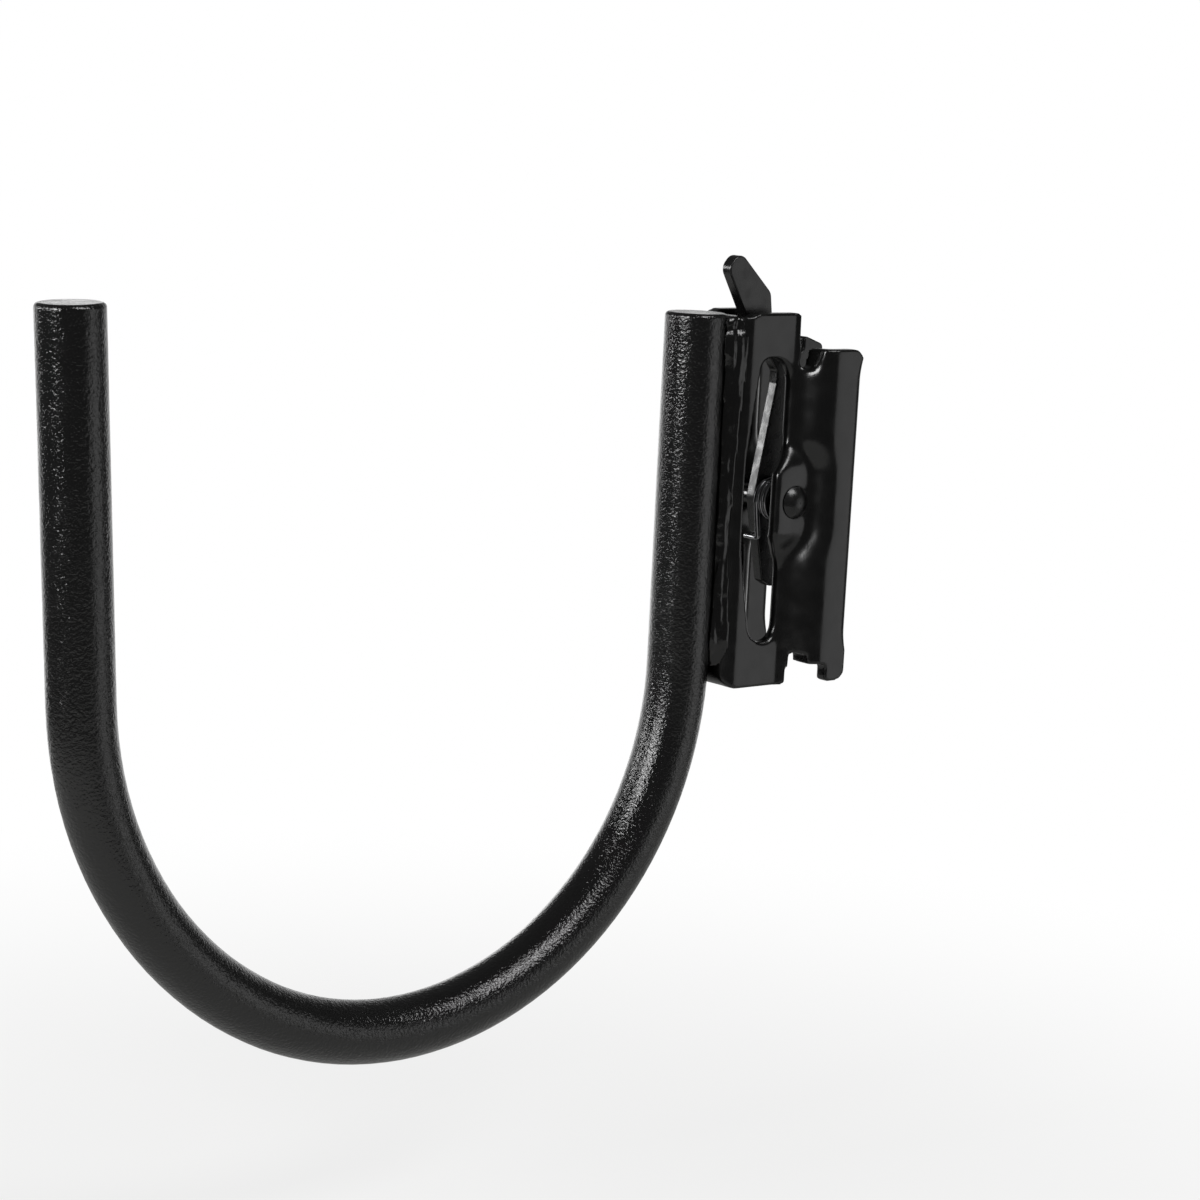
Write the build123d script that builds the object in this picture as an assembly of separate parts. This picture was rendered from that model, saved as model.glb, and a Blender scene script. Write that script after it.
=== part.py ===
from build123d import *
import os
from math import atan2, cos, hypot, pi, radians, sin, sqrt, tan

# Storage hook for a slotted wall rail: a round steel bar bent into a J and
# welded to a folded sheet fitting, which a sprung latch lever locks in the slot.
# Millimetres. X runs along the rail, -Y points out of the wall, +Z is up, and
# the origin is the middle of the rail's slot on the rail's front face.
# "out" is a distance out of the wall, so it is -Y.

# Rail slot that the fitting locks into
slot_height = 58.7
rail_sheet = 2.7
rail_clearance = 0.5

# Hook bar
bar_diameter = 11.1
bar_top = 34.6
bend_start = -27.7
bend_radius = 60.0
bend_radius_end = 66.0
first_bend_angle = 118.3
bend_angle = 177.45
tip_top = 37.0
bar_end_round = 0.8

# Folded sheet fitting
sheet = 2.5
body_width = 13.0
web_front = 16.78
fold_inside_radius = 0.5
joggle_inside_radius = 2.4
body_top = 34.8
body_bottom = -32.6
flange_width = 23.8
joggle_start = 3.3
joggle_end = 0.2
flange_back = 8.0
shoulder_round = 0.6
top_shoulder = 3.3
bottom_shoulder = 2.7
web_drop = 0.7
web_slope_start = 12.9
web_slope_end = 14.8
toe_round = 3.4
flange_round = 2.5

# Flanges in the rail slot, the relief notches where they leave the plates, and the prongs
flange_top_clearance = 0.65
flange_bottom_clearance = 0.95
top_notch_depth = 3.7
top_notch_front = 3.05
top_notch_floor_front = 2.75
top_notch_floor_back = 1.25
top_notch_back = 0.55
bottom_notch_depth = 2.0
bottom_notch_front = 2.3
bottom_notch_floor_back = 0.62
bottom_notch_back = 0.28
notch_front_round = 0.75
notch_back_round = 0.5
notch_lip_round = 0.25
prong_reach = 2.3
prong_root_round = 0.8

# Raised pad under the rivet heads
pad_rise = 2.0
pad_front = 9.0
pad_front_foot = 12.5
pad_back = 0.2
pad_back_foot = -1.5
pad_low = -3.9
pad_high = 6.9
pad_slope = 5.8
pad_slope_steps = 5
pad_inside_radius = 0.8

# Webbing slot through both plates
web_slot_top = 26.8
web_slot_bottom = -24.3
web_slot_front = 14.2
web_slot_front_top = 11.6
web_slot_front_bottom = 11.0
web_slot_front_high = 9.0
web_slot_front_low = -7.0
web_slot_back = 4.9
web_slot_back_high = 4.6
web_slot_pad_edge = 8.2
web_slot_pad_low = -5.4
web_slot_pad_high = 6.4
web_slot_pad_run = 5.0
web_slot_bow = 30.0
slot_top_front_round = 2.2
slot_top_back_round = 4.2
slot_bottom_front_round = 3.3
slot_bottom_back_round = 2.5
slot_pad_round = 1.8

# Pivot rivet, spacers and torsion spring
pivot_out = 3.6
pivot_up = 1.1
rivet_diameter = 4.0
rivet_head_diameter = 5.8
rivet_head_height = 1.2
running_clearance = 0.05
side_clearance = 0.05
spacer_diameter = 5.2
wire_diameter = 1.0
coil_outer_diameter = 7.9
coil_turns = 2
coil_gap = 0.06
spring_touch = 0.03
leg_bend_radius = 0.55
arm_leg_length = 6.5
arm_leg_overhang = 0.5
wall_leg_drop = 13.6

# Latch lever
lever_thickness = 2.3
lever_edge_round = 0.3
knee_out = 7.1
knee_up = 1.2
heel_out = 3.9
heel_up = -14.2
heel_end = -15.3
heel_width = 4.2
belly = 4.6
waist_out = 3.1
waist_drop = 3.0
waist_length = 2.3
ledge_drop = 2.35
neck_root_out = 4.3
neck_root_rise = 0.6
neck_front_out = 11.8
neck_front_up = 34.5
tab_front_out = 16.3
tab_front_up = 42.3
tab_top_out = 13.7
tab_top_up = 45.4
tab_heel_out = 5.75
tab_heel_up = 38.0
tab_round = 2.0
nose_reach = 0.95
nose_drop = 1.6
nose_gap = 0.4
lever_back = 7.7

# Weld beads
weld_top = 34.1
weld_bottom = -28.4
weld_bite = 0.15

# Derived sizes
bar_radius = bar_diameter / 2
bar_out = web_front + bar_radius
plate_face = body_width / 2
flange_face = flange_width / 2
pad_face = plate_face + pad_rise
fold_radius = fold_inside_radius + sheet
prong_front = -(rail_sheet + rail_clearance)
flange_top = slot_height / 2 - flange_top_clearance
flange_bottom = -(slot_height / 2 - flange_bottom_clearance)
prong_bottom = -(slot_height / 2 + prong_reach)
ledge = slot_height / 2 - ledge_drop
nose_top = slot_height / 2 + nose_reach
rivet_radius = rivet_diameter / 2
lever_half = lever_thickness / 2
wire_radius = wire_diameter / 2
coil_radius = coil_outer_diameter / 2 - wire_radius


def side_point(out, up):
    # Point of a side view, drawn on the YZ plane
    return (-out, up)


def side_face(points, radii):
    # Closed side outline with rounded corners
    outline = FilletPolyline(*[side_point(*point) for point in points], radius=radii, close=True)
    return Plane.YZ * make_face(outline)


def across(face, half_width):
    # A side outline made as thick as the piece, evenly about the middle plane
    return extrude(face, half_width, both=True)


def along_pivot(x_from, x_to):
    # Start plane and length of a cylinder on the pivot axis
    return Plane(origin=(x_from, -pivot_out, pivot_up), z_dir=(1, 0, 0)), x_to - x_from


def pivot_cylinder(radius, x_from, x_to):
    plane, length = along_pivot(x_from, x_to)
    return extrude(plane * Circle(radius), length)


def bent_chain(corners, radii):
    # Straight runs joined by arcs; a corner without a turn keeps a short straight piece,
    # so that every level of the fitting has the same number of edges
    straight_piece = 0.4
    edges = []
    start = corners[0]
    for before, corner, after, radius in zip(corners, corners[1:], corners[2:], radii):
        arrive = (corner - before).normalized()
        leave = (after - corner).normalized()
        turn = radians(arrive.get_angle(leave))
        setback = radius * tan(turn / 2) if turn > 0.001 else straight_piece
        first = corner - arrive * setback
        last = corner + leave * setback
        edges.append(Line(start, first))
        if turn > 0.001:
            inward = (leave - arrive).normalized()
            middle = corner + inward * (radius / cos(turn / 2) - radius)
            edges.append(ThreePointArc(first, middle, last))
        else:
            edges.append(Line(first, last))
        start = last
    edges.append(Line(start, corners[-1]))
    return edges


def half_section(level, rise, outs, joggle_radius):
    # Right half of the folded sheet in plan, at one height
    pad_foot, pad_top, pad_bottom, flange_foot = outs
    raised = plate_face + rise
    outer = [
        Vector(0, -web_front, level),
        Vector(plate_face, -web_front, level),
        Vector(plate_face, -pad_foot, level),
        Vector(raised, -pad_top, level),
        Vector(raised, -pad_bottom, level),
        Vector(flange_face, -flange_foot, level),
        Vector(flange_face, flange_back, level),
    ]
    runs = [(end - start).normalized() for start, end in zip(outer, outer[1:])]
    normals = [Vector(-run.Y, run.X, 0) for run in runs]
    inner = [outer[0] + normals[0] * sheet]
    for corner, left, right in zip(outer[1:], normals, normals[1:]):
        inner.append(corner + (left + right) * (sheet / (1 + left.dot(right))))
    inner.append(outer[-1] + normals[-1] * sheet)
    outer_radii = []
    inner_radii = []
    for place, (arrive, leave) in enumerate(zip(runs, runs[1:])):
        bend = fold_inside_radius if place == 0 else joggle_radius
        folds_inward = arrive.cross(leave).Z > 0
        outer_radii.append(bend + sheet if folds_inward else bend)
        inner_radii.append(bend if folds_inward else bend + sheet)
    chain = bent_chain(outer, outer_radii)
    chain.append(Line(outer[-1], inner[-1]))
    chain += bent_chain(inner[::-1], inner_radii[::-1])
    chain.append(Line(inner[0], outer[0]))
    return make_face(Wire([edge.edge() for edge in chain]))


def pad_levels():
    # Heights, rise and fold places of the plan sections: flat plates at both ends,
    # and a pad that swells and fades with eased slopes
    plain = (pad_front_foot, pad_front, joggle_start, joggle_end)
    padded = (pad_front_foot, pad_front, pad_back, pad_back_foot)

    def section_at(level, swell):
        outs = [flat + (raised - flat) * swell for flat, raised in zip(plain, padded)]
        joggle_radius = joggle_inside_radius + (pad_inside_radius - joggle_inside_radius) * swell
        return level, pad_rise * swell, outs, joggle_radius

    shares = [step / pad_slope_steps for step in range(pad_slope_steps + 1)]
    eased = [(share, (1 - cos(pi * share)) / 2) for share in shares]
    rising = [section_at(pad_low - pad_slope * (1 - share), swell) for share, swell in eased]
    fading = [section_at(pad_high + pad_slope * (1 - share), swell) for share, swell in eased[::-1]]
    return [section_at(body_bottom - 1, 0)] + rising + fading + [section_at(body_top + 1, 0)]


def fitting_outline():
    # Side view of the folded sheet: shoulders that rest on the rail, a relief notch
    # where each shoulder meets the flange, and prongs that hook behind the rail
    front = web_front + 1
    back = -flange_back - 0.1
    top_notch_floor = flange_top - top_notch_depth
    bottom_notch_floor = flange_bottom + bottom_notch_depth
    corners = [
        ((top_shoulder, body_top), shoulder_round),
        ((web_slope_start, body_top), 0.8),
        ((web_slope_end, body_top - web_drop), 0.6),
        ((front, body_top - web_drop), 0),
        ((front, body_bottom + toe_round), 0),
        ((web_front, body_bottom + toe_round), 0),
        ((web_front, body_bottom), toe_round - 0.05),
        ((bottom_shoulder, body_bottom), shoulder_round),
        ((bottom_notch_front, bottom_notch_floor), notch_front_round),
        ((bottom_notch_floor_back, bottom_notch_floor), notch_back_round),
        ((bottom_notch_back, flange_bottom), notch_lip_round),
        ((prong_front, flange_bottom), prong_root_round),
        ((prong_front, prong_bottom), prong_root_round),
        ((back, prong_bottom), flange_round),
        ((back, flange_top), flange_round),
        ((top_notch_back, flange_top), notch_lip_round),
        ((top_notch_floor_back, top_notch_floor), notch_back_round),
        ((top_notch_floor_front, top_notch_floor), notch_front_round),
        ((top_notch_front, flange_top), 2.0),
    ]
    return side_face(*zip(*corners))


def webbing_slot():
    # Long bowed slot whose back edge swings round the raised pad
    pad_foot_low = web_slot_pad_low - web_slot_pad_run
    pad_foot_high = web_slot_pad_high + web_slot_pad_run
    corners = [
        ((web_slot_front_top, web_slot_top), slot_top_front_round),
        ((web_slot_front, web_slot_front_high), web_slot_bow),
        ((web_slot_front, web_slot_front_low), web_slot_bow),
        ((web_slot_front_bottom, web_slot_bottom), slot_bottom_front_round),
        ((web_slot_back, web_slot_bottom), slot_bottom_back_round),
        ((web_slot_back, pad_foot_low), slot_pad_round),
        ((web_slot_pad_edge, web_slot_pad_low), slot_pad_round),
        ((web_slot_pad_edge, web_slot_pad_high), slot_pad_round),
        ((web_slot_back_high, pad_foot_high), slot_pad_round),
        ((web_slot_back_high, web_slot_top), slot_top_back_round),
    ]
    return side_face(*zip(*corners))


def make_fitting_body():
    # U-folded sheet: plates that step outwards into the rail slot, with a raised
    # pad under each rivet head
    right = loft([half_section(*level) for level in pad_levels()], ruled=True)
    folded = right + mirror(right, Plane.YZ)
    body = folded & across(fitting_outline(), flange_width)
    body -= across(webbing_slot(), flange_width)
    body -= pivot_cylinder(rivet_radius + running_clearance, -flange_width, flange_width)
    return body


def make_hook_bar():
    # J bend in the middle plane: straight shank, a long bend that opens a little
    # in its last third, and a straight tip arm
    first = radians(first_bend_angle)
    whole = radians(bend_angle)

    def bend(start_out, start_up, radius, heading):
        # Arc that leaves its start at a heading, as a function of any later heading
        centre_out = start_out + radius * cos(heading)
        centre_up = start_up + radius * sin(heading)
        return lambda angle: (centre_out - radius * cos(angle), centre_up - radius * sin(angle))

    tight = bend(bar_out, bend_start, bend_radius, 0)
    wide = bend(*tight(first), bend_radius_end, first)
    arm_start = wide(whole)
    arm_end = (arm_start[0] - (tip_top - arm_start[1]) * tan(whole), tip_top)
    path = Plane.YZ * (Curve() + [
        Line(side_point(bar_out, bar_top), side_point(bar_out, bend_start)),
        ThreePointArc(*[side_point(*tight(first * share)) for share in (0, 0.5, 1)]),
        ThreePointArc(*[side_point(*wide(first + (whole - first) * share)) for share in (0, 0.5, 1)]),
        Line(side_point(*arm_start), side_point(*arm_end)),
    ])
    bar = sweep(Plane(path @ 0, z_dir=path % 0) * Circle(bar_radius), path=path)
    ends = bar.edges().filter_by(GeomType.CIRCLE).sort_by(Axis.Z)[-2:]
    return fillet(ends, bar_end_round)


def eased_between(rows, share):
    # Values of a row table at a share of the way along it, eased from row to row
    for upper, lower in zip(rows, rows[1:]):
        if share <= lower[0]:
            part = (share - upper[0]) / (lower[0] - upper[0])
            swing = (1 - cos(pi * part)) / 2
            return [a + (b - a) * swing for a, b in zip(upper[1:], lower[1:])]


def make_weld(side, body, bar):
    # Fillet bead in the groove between the bar and the fold. It is broad and dished
    # at its top end, thins on its way down and ends in a leaf-shaped drop. Each row
    # has a share of the way down, the angle of the bead's toe round the fold from the
    # plate's face, the angle of its other edge round the bar from the bar's side, and
    # its crown.
    rows = [
        (0.0, 16, 30, -0.45),
        (0.035, 8, 22, -0.1),
        (0.085, 4, 22, 0.45),
        (0.14, 20, 30, 0.5),
        (0.29, 31, 36, 0.4),
        (0.45, 42, 40, 0.35),
        (0.68, 50, 42, 0.3),
        (0.82, 37, 40, 0.35),
        (0.92, 20, 32, 0.4),
        (0.97, 36, 42, 0.2),
        (1.0, 52, 52, -0.05),
    ]
    stations = 30
    root_x = bar_radius * 0.4
    fold_centre = Vector(plate_face - fold_radius, -(web_front - fold_radius), 0)
    bar_centre = Vector(0, -bar_out, 0)
    sections = []
    for station in range(stations + 1):
        share = station / stations
        toe_angle, bar_angle, crown = eased_between(rows, share)
        lift = Vector(0, 0, weld_top + (weld_bottom - weld_top) * share)
        toe_way = Vector(cos(radians(toe_angle)), -sin(radians(toe_angle)), 0)
        bar_way = Vector(cos(radians(bar_angle)), sin(radians(bar_angle)), 0)
        root = Vector(root_x, -web_front - weld_bite, 0) + lift
        toe = fold_centre + toe_way * (fold_radius - weld_bite) + lift
        bar_edge = bar_centre + bar_way * (bar_radius - weld_bite) + lift
        chord = (toe - bar_edge).normalized()
        outward = Vector(-chord.Y, chord.X, 0)
        if outward.X < 0:
            outward = outward * -1
        middle = (toe + bar_edge) * 0.5 + outward * crown
        face = make_face([
            Line(root, bar_edge).edge(),
            ThreePointArc(bar_edge, middle, toe).edge(),
            Line(toe, root).edge(),
        ])
        sections.append(face if side > 0 else mirror(face, Plane.YZ))
    return loft(sections) - bar - body


def make_pivot_rivet():
    # Shank with a low domed head on each pad
    head_radius = rivet_head_diameter / 2
    dome_radius = (head_radius ** 2 + rivet_head_height ** 2) / (2 * rivet_head_height)
    dome_centre = pad_face + rivet_head_height - dome_radius
    mid_angle = atan2(head_radius, pad_face - dome_centre) / 2
    dome_mid = (dome_centre + dome_radius * cos(mid_angle), dome_radius * sin(mid_angle))
    crown = pad_face + rivet_head_height
    half = [
        Line((-crown, 0), (crown, 0)),
        ThreePointArc((crown, 0), dome_mid, (pad_face, head_radius)),
        Line((pad_face, head_radius), (pad_face, rivet_radius)),
        Line((pad_face, rivet_radius), (-pad_face, rivet_radius)),
        Line((-pad_face, rivet_radius), (-pad_face, head_radius)),
        ThreePointArc((-pad_face, head_radius), (-dome_mid[0], dome_mid[1]), (-crown, 0)),
    ]
    plane = Plane(origin=(0, -pivot_out, pivot_up), x_dir=(1, 0, 0), z_dir=(0, -1, 0))
    profile = plane * make_face([line.edge() for line in half])
    return revolve(profile, Axis((0, -pivot_out, pivot_up), (1, 0, 0)))


def make_spacer(side):
    # Tube on the rivet between the lever and one plate
    start = lever_half + side_clearance
    end = pad_face - sheet
    limits = (start, end) if side > 0 else (-end, -start)
    tube = pivot_cylinder(spacer_diameter / 2, *limits)
    return tube - pivot_cylinder(rivet_radius + running_clearance, *limits)


def make_latch_lever():
    # Flat lever: an arm that the spring presses, the nose that locks behind the
    # rail, and a rounded thumb tab above the fitting
    nose_front = -(rail_sheet + nose_gap)
    waist_up = ledge - waist_drop
    corners = [
        ((knee_out, knee_up), 2.5),
        ((heel_out, heel_up), 1.2),
        ((heel_out - heel_width / 2, heel_end), 0.8),
        ((heel_out - heel_width, heel_end), 1.5),
        ((pivot_out - belly, pivot_up - belly), 4.0),
        ((-lever_back, pivot_up + belly), 4.0),
        ((-lever_back, nose_top - nose_drop), 1.0),
        ((nose_front, nose_top), 0.6),
        ((nose_front, ledge), 1.2),
        ((neck_root_out, ledge + neck_root_rise), 0.8),
        ((tab_heel_out, tab_heel_up), tab_round),
        ((tab_top_out, tab_top_up), tab_round),
        ((tab_front_out, tab_front_up), tab_round),
        ((neck_front_out, neck_front_up), 1.5),
        ((waist_out, waist_up), 1.0),
        ((waist_out, waist_up - waist_length), 1.5),
    ]
    lever = across(side_face(*zip(*corners)), lever_half)
    rims = lever.edges().group_by(Axis.X)
    lever = fillet(rims[0] + rims[-1], lever_edge_round)
    return lever - pivot_cylinder(rivet_radius + running_clearance, -lever_half, lever_half)


def make_torsion_spring():
    # Coil round the right spacer; one leg lies across the lever's lower arm and
    # the other bears on the inside of the right plate's outward step
    knee = Vector(knee_out - pivot_out, knee_up - pivot_up)
    arm = (Vector(heel_out - pivot_out, heel_up - pivot_up) - knee).normalized()
    arm_normal = Vector(-arm.Y, arm.X)
    leg_height = knee.dot(arm_normal) + wire_radius + spring_touch
    arm_tip = arm_normal * leg_height + arm * arm_leg_length

    # The step's inner face is a round about the same centre as its outer face
    start_x = lever_half + side_clearance + wire_radius
    end_x = start_x + (wire_diameter + coil_gap) * (coil_turns + 0.7)
    step_turn = atan2(flange_face - plate_face, joggle_start - joggle_end)
    step_x = plate_face + joggle_inside_radius
    step_out = joggle_start + joggle_inside_radius * tan(step_turn / 2)
    step_reach = joggle_inside_radius + sheet + wire_radius + spring_touch
    wall_tip_out = step_out - sqrt(step_reach ** 2 - (step_x - end_x) ** 2)
    wall_tip = Vector(wall_tip_out - pivot_out, -wall_leg_drop)

    def tangent_angle(tip, turn_side):
        # Angle on the coil where a straight leg to the tip leaves it
        reach = hypot(tip.X, tip.Y)
        return atan2(tip.Y, tip.X) + turn_side * atan2(sqrt(reach ** 2 - coil_radius ** 2), coil_radius)

    start_angle = tangent_angle(arm_tip, 1)
    end_angle = tangent_angle(wall_tip, -1) + 2 * pi * (coil_turns + 1)
    pitch = (end_x - start_x) * 2 * pi / (end_angle - start_angle)

    def place(x, point):
        return Vector(x, -pivot_out - point.X, pivot_up + point.Y)

    def wire(path):
        return sweep(Plane(path @ 0, z_dir=path % 0) * Circle(wire_radius), path=path)

    coil_start = Vector(cos(start_angle), sin(start_angle)) * coil_radius
    coil_end = Vector(cos(end_angle), sin(end_angle)) * coil_radius
    origin = Vector(start_x, -pivot_out, pivot_up)
    radial = place(start_x, coil_start) - origin
    frame = Plane(origin=origin, x_dir=radial, z_dir=(1, 0, 0))
    helix = frame * Helix(pitch, end_x - start_x, coil_radius, lefthand=True)
    section = Plane(helix @ 0, z_dir=helix % 0) * Circle(wire_radius)
    coil = sweep(section, path=helix, is_frenet=True)
    across_x = -(lever_half + arm_leg_overhang)
    arm_leg = wire(FilletPolyline(
        place(start_x, coil_start), place(start_x, arm_tip), place(across_x, arm_tip),
        radius=leg_bend_radius,
    ))
    wall_leg = wire(Line(place(end_x, coil_end), place(end_x, wall_tip)))
    spring = coil + arm_leg + wall_leg
    for joint in (place(start_x, coil_start), place(end_x, coil_end)):
        spring += Pos(joint) * Sphere(wire_radius * 1.03)
    return spring


fitting_body = make_fitting_body()
hook_bar = make_hook_bar()
parts = {
    "fitting_body": fitting_body,
    "hook_bar": hook_bar,
    "weld_right": make_weld(1, fitting_body, hook_bar),
    "weld_left": make_weld(-1, fitting_body, hook_bar),
    "pivot_rivet": make_pivot_rivet(),
    "spacer_right": make_spacer(1),
    "spacer_left": make_spacer(-1),
    "latch_lever": make_latch_lever(),
    "torsion_spring": make_torsion_spring(),
}

os.makedirs("parts", exist_ok=True)
for name, part in parts.items():
    export_step(part, f"parts/{name}.step")
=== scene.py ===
import math

import bmesh
import bpy
from mathutils import Matrix, Vector, noise


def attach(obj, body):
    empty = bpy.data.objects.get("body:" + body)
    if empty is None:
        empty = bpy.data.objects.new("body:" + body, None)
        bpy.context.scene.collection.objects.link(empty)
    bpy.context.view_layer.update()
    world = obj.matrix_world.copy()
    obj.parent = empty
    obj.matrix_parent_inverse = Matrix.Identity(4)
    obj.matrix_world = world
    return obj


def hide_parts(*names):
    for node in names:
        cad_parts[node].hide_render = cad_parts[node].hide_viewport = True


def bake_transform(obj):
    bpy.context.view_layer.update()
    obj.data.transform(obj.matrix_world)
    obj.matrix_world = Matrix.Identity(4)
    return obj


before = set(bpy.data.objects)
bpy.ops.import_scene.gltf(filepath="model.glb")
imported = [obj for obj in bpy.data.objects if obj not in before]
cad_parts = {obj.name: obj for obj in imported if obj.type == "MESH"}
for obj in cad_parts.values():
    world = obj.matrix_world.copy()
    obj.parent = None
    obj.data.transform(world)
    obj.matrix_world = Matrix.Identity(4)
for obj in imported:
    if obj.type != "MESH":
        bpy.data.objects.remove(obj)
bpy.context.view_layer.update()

mm = 0.001
pureWhite = [1, 1, 1, 1]
# The mix node's colour sockets share their names with its other kinds, so they go by number
colourA, colourB, colourOut = 6, 7, 2
smoothShare = 0.5
print("frame loaded")


def hexColour(code):
    # sRGB hex to the linear colour that Blender works in
    channels = [int(code[i:i + 2], 16) / 255 for i in (1, 3, 5)]
    return [c / 12.92 if c <= 0.04045 else ((c + 0.055) / 1.055) ** 2.4 for c in channels] + [1.0]


def addNode(tree, kind, settings=None, links=None):
    # One node with its settings, socket values and incoming links
    node = tree.nodes.new(kind)
    for key, value in (settings or {}).items():
        if hasattr(node, key):
            setattr(node, key, value)
        else:
            node.inputs[key].default_value = value
    for key, source in (links or {}).items():
        tree.links.new(source, node.inputs[key])
    return node


def newMaterial(name):
    # A material with its shader and the object's own coordinates
    material = bpy.data.materials.new(name)
    material.use_nodes = True
    tree = material.node_tree
    shader = tree.nodes["Principled BSDF"]
    place = addNode(tree, "ShaderNodeTexCoord").outputs["Object"]
    return material, tree, shader, place


def texturedPowderCoat():
    # Black textured powder coat, sprayed as grains and baked. It is glossy but full of
    # fine pimples, so a lamp shows as a band of broken sparks with ragged sides. The
    # grain is drawn coarser than the real one, so that it shows
    look = {
        "colour": "#040404", "dust": "#101010",
        "grainMm": 0.48, "grainDepth": 0.13,
        "pimpleMm": 0.75, "pimpleDepth": 0.04,
        "swellMm": 5.0, "swellDepth": 0.1,
        "roughness": (0.08, 0.16), "ior": 1.58,
    }
    material, tree, shader, place = newMaterial("textured_powder_coat")
    grain = addNode(
        tree, "ShaderNodeTexNoise",
        {"Scale": 1 / (look["grainMm"] * mm), "Detail": 2.0, "Roughness": 0.6},
        {"Vector": place},
    )
    pimple = addNode(
        tree, "ShaderNodeTexVoronoi",
        {"feature": "SMOOTH_F1", "Scale": 1 / (look["pimpleMm"] * mm), "Smoothness": 0.6},
        {"Vector": place},
    )
    swell = addNode(
        tree, "ShaderNodeTexNoise",
        {"Scale": 1 / (look["swellMm"] * mm), "Detail": 1.0},
        {"Vector": place},
    )
    fine = addNode(
        tree, "ShaderNodeBump",
        {"Strength": 1.0, "Distance": look["grainDepth"] * mm},
        {"Height": grain.outputs["Fac"]},
    )
    coarse = addNode(
        tree, "ShaderNodeBump",
        {"Strength": 1.0, "Distance": look["pimpleDepth"] * mm, "invert": True},
        {"Height": pimple.outputs["Distance"], "Normal": fine.outputs["Normal"]},
    )
    broad = addNode(
        tree, "ShaderNodeBump",
        {"Strength": 1.0, "Distance": look["swellDepth"] * mm},
        {"Height": swell.outputs["Fac"], "Normal": coarse.outputs["Normal"]},
    )
    tone = addNode(
        tree, "ShaderNodeMix", {"data_type": "RGBA"}, {"Factor": grain.outputs["Fac"]},
    )
    tone.inputs[colourA].default_value = hexColour(look["colour"])
    tone.inputs[colourB].default_value = hexColour(look["dust"])
    smoothest, roughest = look["roughness"]
    sheen = addNode(
        tree, "ShaderNodeMapRange",
        {"From Min": 0.35, "From Max": 0.65, "To Min": smoothest, "To Max": roughest},
        {"Value": swell.outputs["Fac"]},
    )
    tree.links.new(tone.outputs[colourOut], shader.inputs["Base Color"])
    tree.links.new(sheen.outputs["Result"], shader.inputs["Roughness"])
    tree.links.new(broad.outputs["Normal"], shader.inputs["Normal"])
    shader.inputs["IOR"].default_value = look["ior"]
    return material


def blackPaint(name, look):
    # Black paint sprayed on bare steel: level enough to mirror a window of light, with
    # a slight peel and a little dust in it
    smoothest, roughest = look["roughness"] * 0.8, look["roughness"] * 1.3
    material, tree, shader, place = newMaterial(name)
    peel = addNode(
        tree, "ShaderNodeTexNoise",
        {"Scale": 1 / (look["peelMm"] * mm), "Detail": 1.0},
        {"Vector": place},
    )
    dust = addNode(
        tree, "ShaderNodeTexNoise",
        {"Scale": 1 / (look["dustMm"] * mm), "Detail": 2.0},
        {"Vector": place},
    )
    level = addNode(
        tree, "ShaderNodeBump",
        {"Strength": 1.0, "Distance": look["peelDepth"] * mm},
        {"Height": peel.outputs["Fac"]},
    )
    specks = addNode(
        tree, "ShaderNodeBump",
        {"Strength": 1.0, "Distance": look["dustDepth"] * mm},
        {"Height": dust.outputs["Fac"], "Normal": level.outputs["Normal"]},
    )
    sheen = addNode(
        tree, "ShaderNodeMapRange",
        {"From Min": 0.3, "From Max": 0.7, "To Min": smoothest, "To Max": roughest},
        {"Value": peel.outputs["Fac"]},
    )
    tree.links.new(sheen.outputs["Result"], shader.inputs["Roughness"])
    tree.links.new(specks.outputs["Normal"], shader.inputs["Normal"])
    shader.inputs["Base Color"].default_value = hexColour(look["colour"])
    return material


def glossBlackPaint():
    # Glossy paint on the folded sheet and on the tubes round the rivet
    return blackPaint("gloss_black_paint", {
        "colour": "#070707", "peelMm": 3.0, "peelDepth": 0.03,
        "dustMm": 0.45, "dustDepth": 0.012, "roughness": 0.2,
    })


def paintedWeld():
    # Thick paint that has run over the ripples and spatter of a weld bead
    return blackPaint("painted_weld", {
        "colour": "#070707", "peelMm": 1.2, "peelDepth": 0.06,
        "dustMm": 0.4, "dustDepth": 0.03, "roughness": 0.16,
    })


def satinLeverPaint():
    # Thinner, duller paint on the stamped lever and on the rivet
    return blackPaint("satin_lever_paint", {
        "colour": "#090909", "peelMm": 2.0, "peelDepth": 0.015,
        "dustMm": 0.4, "dustDepth": 0.012, "roughness": 0.26,
    })


def blackSpringWire():
    # Oil-blacked spring wire: dark metal with a clean metallic gleam along each turn
    look = {"colour": "#8a8a8c", "drawnMm": 1.1, "roughness": (0.16, 0.32)}
    smoothest, roughest = look["roughness"]
    material, tree, shader, place = newMaterial("black_spring_wire")
    cloud = addNode(
        tree, "ShaderNodeTexNoise",
        {"Scale": 1 / (look["drawnMm"] * mm), "Detail": 2.0},
        {"Vector": place},
    )
    tone = addNode(
        tree, "ShaderNodeMapRange",
        {"To Min": smoothest, "To Max": roughest},
        {"Value": cloud.outputs["Fac"]},
    )
    tree.links.new(tone.outputs["Result"], shader.inputs["Roughness"])
    shader.inputs["Base Color"].default_value = hexColour(look["colour"])
    shader.inputs["Metallic"].default_value = 1.0
    return material


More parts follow.
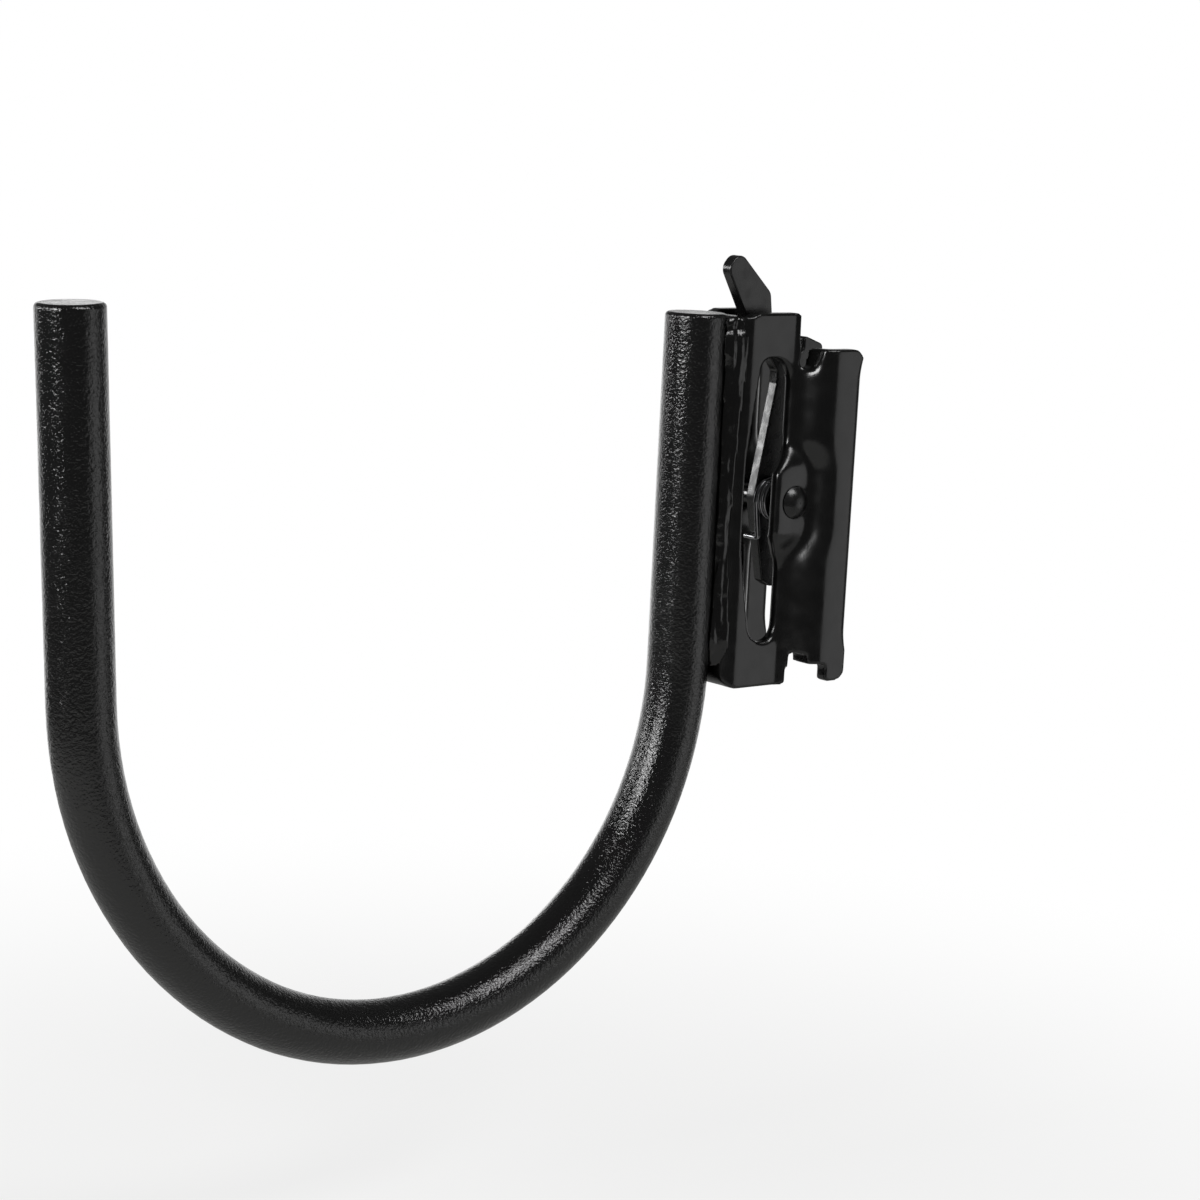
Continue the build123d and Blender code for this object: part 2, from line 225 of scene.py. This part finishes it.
def mergedCopy(nodeName, pieceName):
    # Own copy of a solid's mesh with its loose triangles joined up
    joinWithinMm = 0.005
    piece = bpy.data.objects.new(pieceName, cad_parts[nodeName].data.copy())
    bpy.context.collection.objects.link(piece)
    bpy.ops.object.select_all(action="DESELECT")
    piece.select_set(True)
    bpy.context.view_layer.objects.active = piece
    bpy.ops.mesh.customdata_custom_splitnormals_clear()
    bpy.ops.object.mode_set(mode="EDIT")
    bpy.ops.mesh.select_all(action="SELECT")
    bpy.ops.mesh.remove_doubles(threshold=joinWithinMm * mm)
    bpy.ops.object.mode_set(mode="OBJECT")
    return piece


def finishPiece(piece, nodeName, material):
    # Gives a replacing piece its material and body, and hides the solid it replaces
    piece.data.materials.clear()
    piece.data.materials.append(material)
    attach(piece, "fitting")
    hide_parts(nodeName)
    print(piece.name, "has", len(piece.data.polygons), "faces")


def addModifier(piece, kind, **settings):
    # One modifier, applied to the mesh at once
    modifier = piece.modifiers.new(kind.lower(), kind)
    for key, value in settings.items():
        setattr(modifier, key, value)
    bpy.ops.object.modifier_apply(modifier=modifier.name)


def makeFoldedBody(material):
    # The stamped and folded sheet. Its punched corners are rounded, its rims are softened
    # by tumbling and paint, and the pressed swelling round the rivet runs out smoothly
    body = {
        "cornerMm": 0.9, "cornerSteps": 5, "cornerTurn": 50, "flatTurn": 0.3,
        "sheetMm": (1.2, 3.6), "throughShare": 0.97, "gridMm": 0.31, "softenTurns": 4,
        "swellFromMm": (-26.0, 27.0), "swellOutMm": 9.5, "swellFadeMm": 3.0, "swellTurns": 90,
    }
    piece = mergedCopy("fitting_body", "folded_body")
    bpy.ops.object.mode_set(mode="EDIT")
    bpy.ops.mesh.select_all(action="SELECT")
    bpy.ops.mesh.dissolve_limited(angle_limit=math.radians(body["flatTurn"]))
    bpy.ops.mesh.select_all(action="DESELECT")
    shape = bmesh.from_edit_mesh(piece.data)
    shortest, longest = body["sheetMm"]
    sharp = math.radians(body["cornerTurn"])
    for edge in shape.edges:
        # Corner edges run through the sheet, so they lie along X and are as long as it is thick
        run = edge.verts[0].co - edge.verts[1].co
        through = (
            abs(run.x) > body["throughShare"] * run.length
            and shortest * mm < run.length < longest * mm
        )
        if through and edge.is_manifold and edge.is_convex and edge.calc_face_angle() > sharp:
            edge.select_set(True)
    bmesh.update_edit_mesh(piece.data)
    bpy.ops.mesh.bevel(
        offset=body["cornerMm"] * mm, segments=body["cornerSteps"], affect="EDGES",
        clamp_overlap=True,
    )
    bpy.ops.object.mode_set(mode="OBJECT")
    addModifier(piece, "REMESH", mode="VOXEL", voxel_size=body["gridMm"] * mm)
    addModifier(piece, "SMOOTH", factor=smoothShare, iterations=body["softenTurns"])
    swell = piece.vertex_groups.new(name="swell")
    low, high = body["swellFromMm"]
    for vertex in piece.data.vertices:
        out, up = -vertex.co.y / mm, vertex.co.z / mm
        if low < up < high and out < body["swellOutMm"]:
            near = min(up - low, high - up, body["swellOutMm"] - out) / body["swellFadeMm"]
            swell.add([vertex.index], min(1.0, near), "REPLACE")
    addModifier(
        piece, "SMOOTH", factor=smoothShare, iterations=body["swellTurns"], vertex_group="swell",
    )
    piece.vertex_groups.clear()
    bpy.ops.object.shade_smooth()
    finishPiece(piece, "fitting_body", material)


def makeWeldBead(nodeName, pieceName, material):
    # A fillet weld drawn down the groove: long runs of metal, a few lumps and an end crater
    bead = {
        "gridMm": 0.22, "softenTurns": 3,
        "streakMm": (1.1, 7.0), "streakHigh": 0.34, "lumpMm": 1.5, "lumpHigh": 0.1,
        "craterMm": 32.2, "craterDeep": 0.3, "craterWide": 0.8,
    }
    piece = mergedCopy(nodeName, pieceName)
    addModifier(piece, "REMESH", mode="VOXEL", voxel_size=bead["gridMm"] * mm)
    addModifier(piece, "SMOOTH", factor=smoothShare, iterations=bead["softenTurns"])
    thin, long = bead["streakMm"]
    moves = []
    for vertex in piece.data.vertices:
        spot = vertex.co / mm
        streak = noise.noise(Vector((spot.x / thin, spot.y / thin, spot.z / long)))
        lump = noise.noise(spot / bead["lumpMm"])
        crater = math.exp(-(((spot.z - bead["craterMm"]) / bead["craterWide"]) ** 2))
        rise = streak * bead["streakHigh"] + lump * bead["lumpHigh"]
        moves.append(vertex.co + vertex.normal * (rise - crater * bead["craterDeep"]) * mm)
    for vertex, place in zip(piece.data.vertices, moves):
        vertex.co = place
    bpy.ops.object.shade_smooth()
    finishPiece(piece, nodeName, material)


def makeLatchSpring(material):
    # On the real latch the spring's arm leg stays on the lever and its wall leg on the plate, and
    # the coil between them winds up as the tab is pressed. Both are measured from the middle.
    # Here the solid's mesh is copied, smooth-shaded and given the wire material
    spring = {"wallLegMm": 4.3, "armLegMm": 2.4, "sharpTurn": 50}
    piece = mergedCopy("torsion_spring", "latch_spring")
    bpy.ops.object.shade_smooth_by_angle(angle=math.radians(spring["sharpTurn"]))
    piece.data.materials.clear()
    piece.data.materials.append(material)
    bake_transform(piece)
    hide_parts("torsion_spring")


def dress(nodeNames, material):
    # A material for solids that keep their own mesh
    for name in nodeNames:
        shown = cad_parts[name]
        shown.data.materials.clear()
        shown.data.materials.append(material)


gloss = glossBlackPaint()
weldPaint = paintedWeld()
dress(["hook_bar"], texturedPowderCoat())
dress(["spacer_right", "spacer_left"], gloss)
dress(["latch_lever", "pivot_rivet"], satinLeverPaint())
makeFoldedBody(gloss)
makeWeldBead("weld_right", "weld_bead_right", weldPaint)
makeWeldBead("weld_left", "weld_bead_left", weldPaint)
makeLatchSpring(blackSpringWire())
print("pieces and materials done")


def makeStage():
    # Pale floor that carries the shadow and fades into the white surround
    stage = {
        "floorMm": -125.0, "middleMm": -70.0, "radiusMm": 320.0, "rimPoints": 96,
        "fadeFromMm": 60.0, "fadeToShare": 0.95, "whiteShare": 0.78,
        "floor": "#c8c8c6", "roughness": 0.7,
    }
    bpy.ops.object.select_all(action="DESELECT")
    bpy.ops.mesh.primitive_circle_add(
        vertices=stage["rimPoints"], radius=stage["radiusMm"] * mm, fill_type="NGON",
        location=(0, stage["middleMm"] * mm, stage["floorMm"] * mm),
    )
    floor = bpy.context.object
    floor.name = "floor"
    material, tree, shader, place = newMaterial("pale_floor")
    shader.inputs["Base Color"].default_value = hexColour(stage["floor"])
    shader.inputs["Roughness"].default_value = stage["roughness"]
    shader.inputs["Specular IOR Level"].default_value = 0.0
    far = addNode(tree, "ShaderNodeVectorMath", {"operation": "LENGTH"}, {0: place})
    fade = addNode(
        tree, "ShaderNodeMapRange",
        {
            "interpolation_type": "SMOOTHSTEP", "From Min": stage["fadeFromMm"] * mm,
            "From Max": stage["radiusMm"] * mm * stage["fadeToShare"],
            "To Min": stage["whiteShare"],
        },
        {"Value": far.outputs["Value"]},
    )
    rays = addNode(tree, "ShaderNodeLightPath")
    seen = addNode(
        tree, "ShaderNodeMath", {"operation": "MULTIPLY"},
        {0: fade.outputs["Result"], 1: rays.outputs["Is Camera Ray"]},
    )
    glow = addNode(tree, "ShaderNodeEmission", {"Color": pureWhite, "Strength": 1.0})
    mix = addNode(
        tree, "ShaderNodeMixShader", {},
        {0: seen.outputs["Value"], 1: shader.outputs[0], 2: glow.outputs[0]},
    )
    tree.links.new(mix.outputs[0], tree.nodes["Material Output"].inputs["Surface"])
    floor.data.materials.append(material)


def makeWorld():
    # Dim studio for the light itself, white for what the camera and gloss see behind the hook
    room = {"fill": 0.1, "behind": (-0.6, 0.72, -0.35), "behindFrom": 0.7, "behindTo": 0.98}
    world = bpy.data.worlds.new("studio")
    bpy.context.scene.world = world
    world.use_nodes = True
    tree = world.node_tree
    background = tree.nodes["Background"]
    background.inputs["Color"].default_value = pureWhite
    background.inputs["Strength"].default_value = room["fill"]
    rays = addNode(tree, "ShaderNodeLightPath")
    white = addNode(tree, "ShaderNodeBackground", {"Color": pureWhite, "Strength": 1.0})
    heading = addNode(tree, "ShaderNodeTexCoord").outputs["Generated"]
    along = addNode(tree, "ShaderNodeVectorMath", {"operation": "DOT_PRODUCT"}, {0: heading})
    along.inputs[1].default_value = room["behind"]
    behind = addNode(
        tree, "ShaderNodeMapRange",
        {
            "interpolation_type": "SMOOTHSTEP",
            "From Min": room["behindFrom"], "From Max": room["behindTo"],
        },
        {"Value": along.outputs["Value"]},
    )
    glossy = addNode(
        tree, "ShaderNodeMath", {"operation": "MULTIPLY"},
        {0: behind.outputs["Result"], 1: rays.outputs["Is Glossy Ray"]},
    )
    direct = addNode(
        tree, "ShaderNodeMath", {"operation": "MAXIMUM"},
        {0: rays.outputs["Is Camera Ray"], 1: rays.outputs["Is Transmission Ray"]},
    )
    seen = addNode(
        tree, "ShaderNodeMath", {"operation": "MAXIMUM"},
        {0: glossy.outputs["Value"], 1: direct.outputs["Value"]},
    )
    mix = addNode(
        tree, "ShaderNodeMixShader", {},
        {0: seen.outputs["Value"], 1: background.outputs[0], 2: white.outputs[0]},
    )
    tree.links.new(mix.outputs[0], tree.nodes["World Output"].inputs["Surface"])


def makeLamps():
    # Softboxes that face the fitting. Azimuth 0 is straight out from the wall and 90 is
    # along +X, in degrees. Sizes are in metres
    rig = {"aimMm": (0, -50.0, 0), "distanceMm": 1300.0}
    softboxes = {
        "key": {"azimuth": 3, "elevation": 19, "size": (0.56, 0.46), "radiance": 18},
        "side": {"azimuth": -48, "elevation": 10, "size": (0.16, 0.3), "radiance": 20},
        "right": {"azimuth": 98, "elevation": 47, "size": (0.7, 0.4), "radiance": 9},
        "leftFill": {"azimuth": -97, "elevation": -4, "size": (1.2, 0.6), "radiance": 1.1},
        "rightFill": {"azimuth": 133, "elevation": -6, "size": (0.8, 0.8), "radiance": 0.85},
    }
    aim = Vector(rig["aimMm"]) * mm
    for name, box in softboxes.items():
        turn, rise = math.radians(box["azimuth"]), math.radians(box["elevation"])
        way = Vector((
            math.sin(turn) * math.cos(rise), -math.cos(turn) * math.cos(rise), math.sin(rise),
        ))
        place = aim + way * (rig["distanceMm"] * mm)
        wide, high = box["size"]
        light = bpy.data.lights.new(name, "AREA")
        light.shape = "RECTANGLE"
        light.size, light.size_y = wide, high
        light.energy = box["radiance"] * math.pi * wide * high
        lamp = bpy.data.objects.new(name, light)
        bpy.context.collection.objects.link(lamp)
        lamp.visible_camera = False
        lamp.location = place
        lamp.rotation_euler = (aim - place).to_track_quat("-Z", "Y").to_euler()


def makeCamera():
    # Eye point, lens and upward shift that give the photograph's view
    shot = {
        "placeMm": (427.0, -396.48, 73.36),
        "right": (0.63292, 0.77272, 0.04805),
        "down": (0.19878, -0.1022, -0.9747),
        "ahead": (-0.74826, 0.62646, -0.21829),
        "lensMm": 95.81,
        "sensorMm": 36.0,
        "shiftY": 0.1638,
    }
    lens = bpy.data.cameras.new("camera")
    lens.sensor_width = shot["sensorMm"]
    lens.lens = shot["lensMm"]
    lens.shift_y = shot["shiftY"]
    camera = bpy.data.objects.new("camera", lens)
    bpy.context.collection.objects.link(camera)
    right = Vector(shot["right"])
    up = -Vector(shot["down"])
    back = -Vector(shot["ahead"])
    turn = Matrix((right, up, back)).transposed().to_4x4()
    camera.matrix_world = Matrix.Translation(Vector(shot["placeMm"]) * mm) @ turn
    bpy.context.scene.camera = camera


makeStage()
makeWorld()
makeLamps()
makeCamera()
bpy.context.scene.view_settings.view_transform = "Standard"
print("stage, light and camera set")
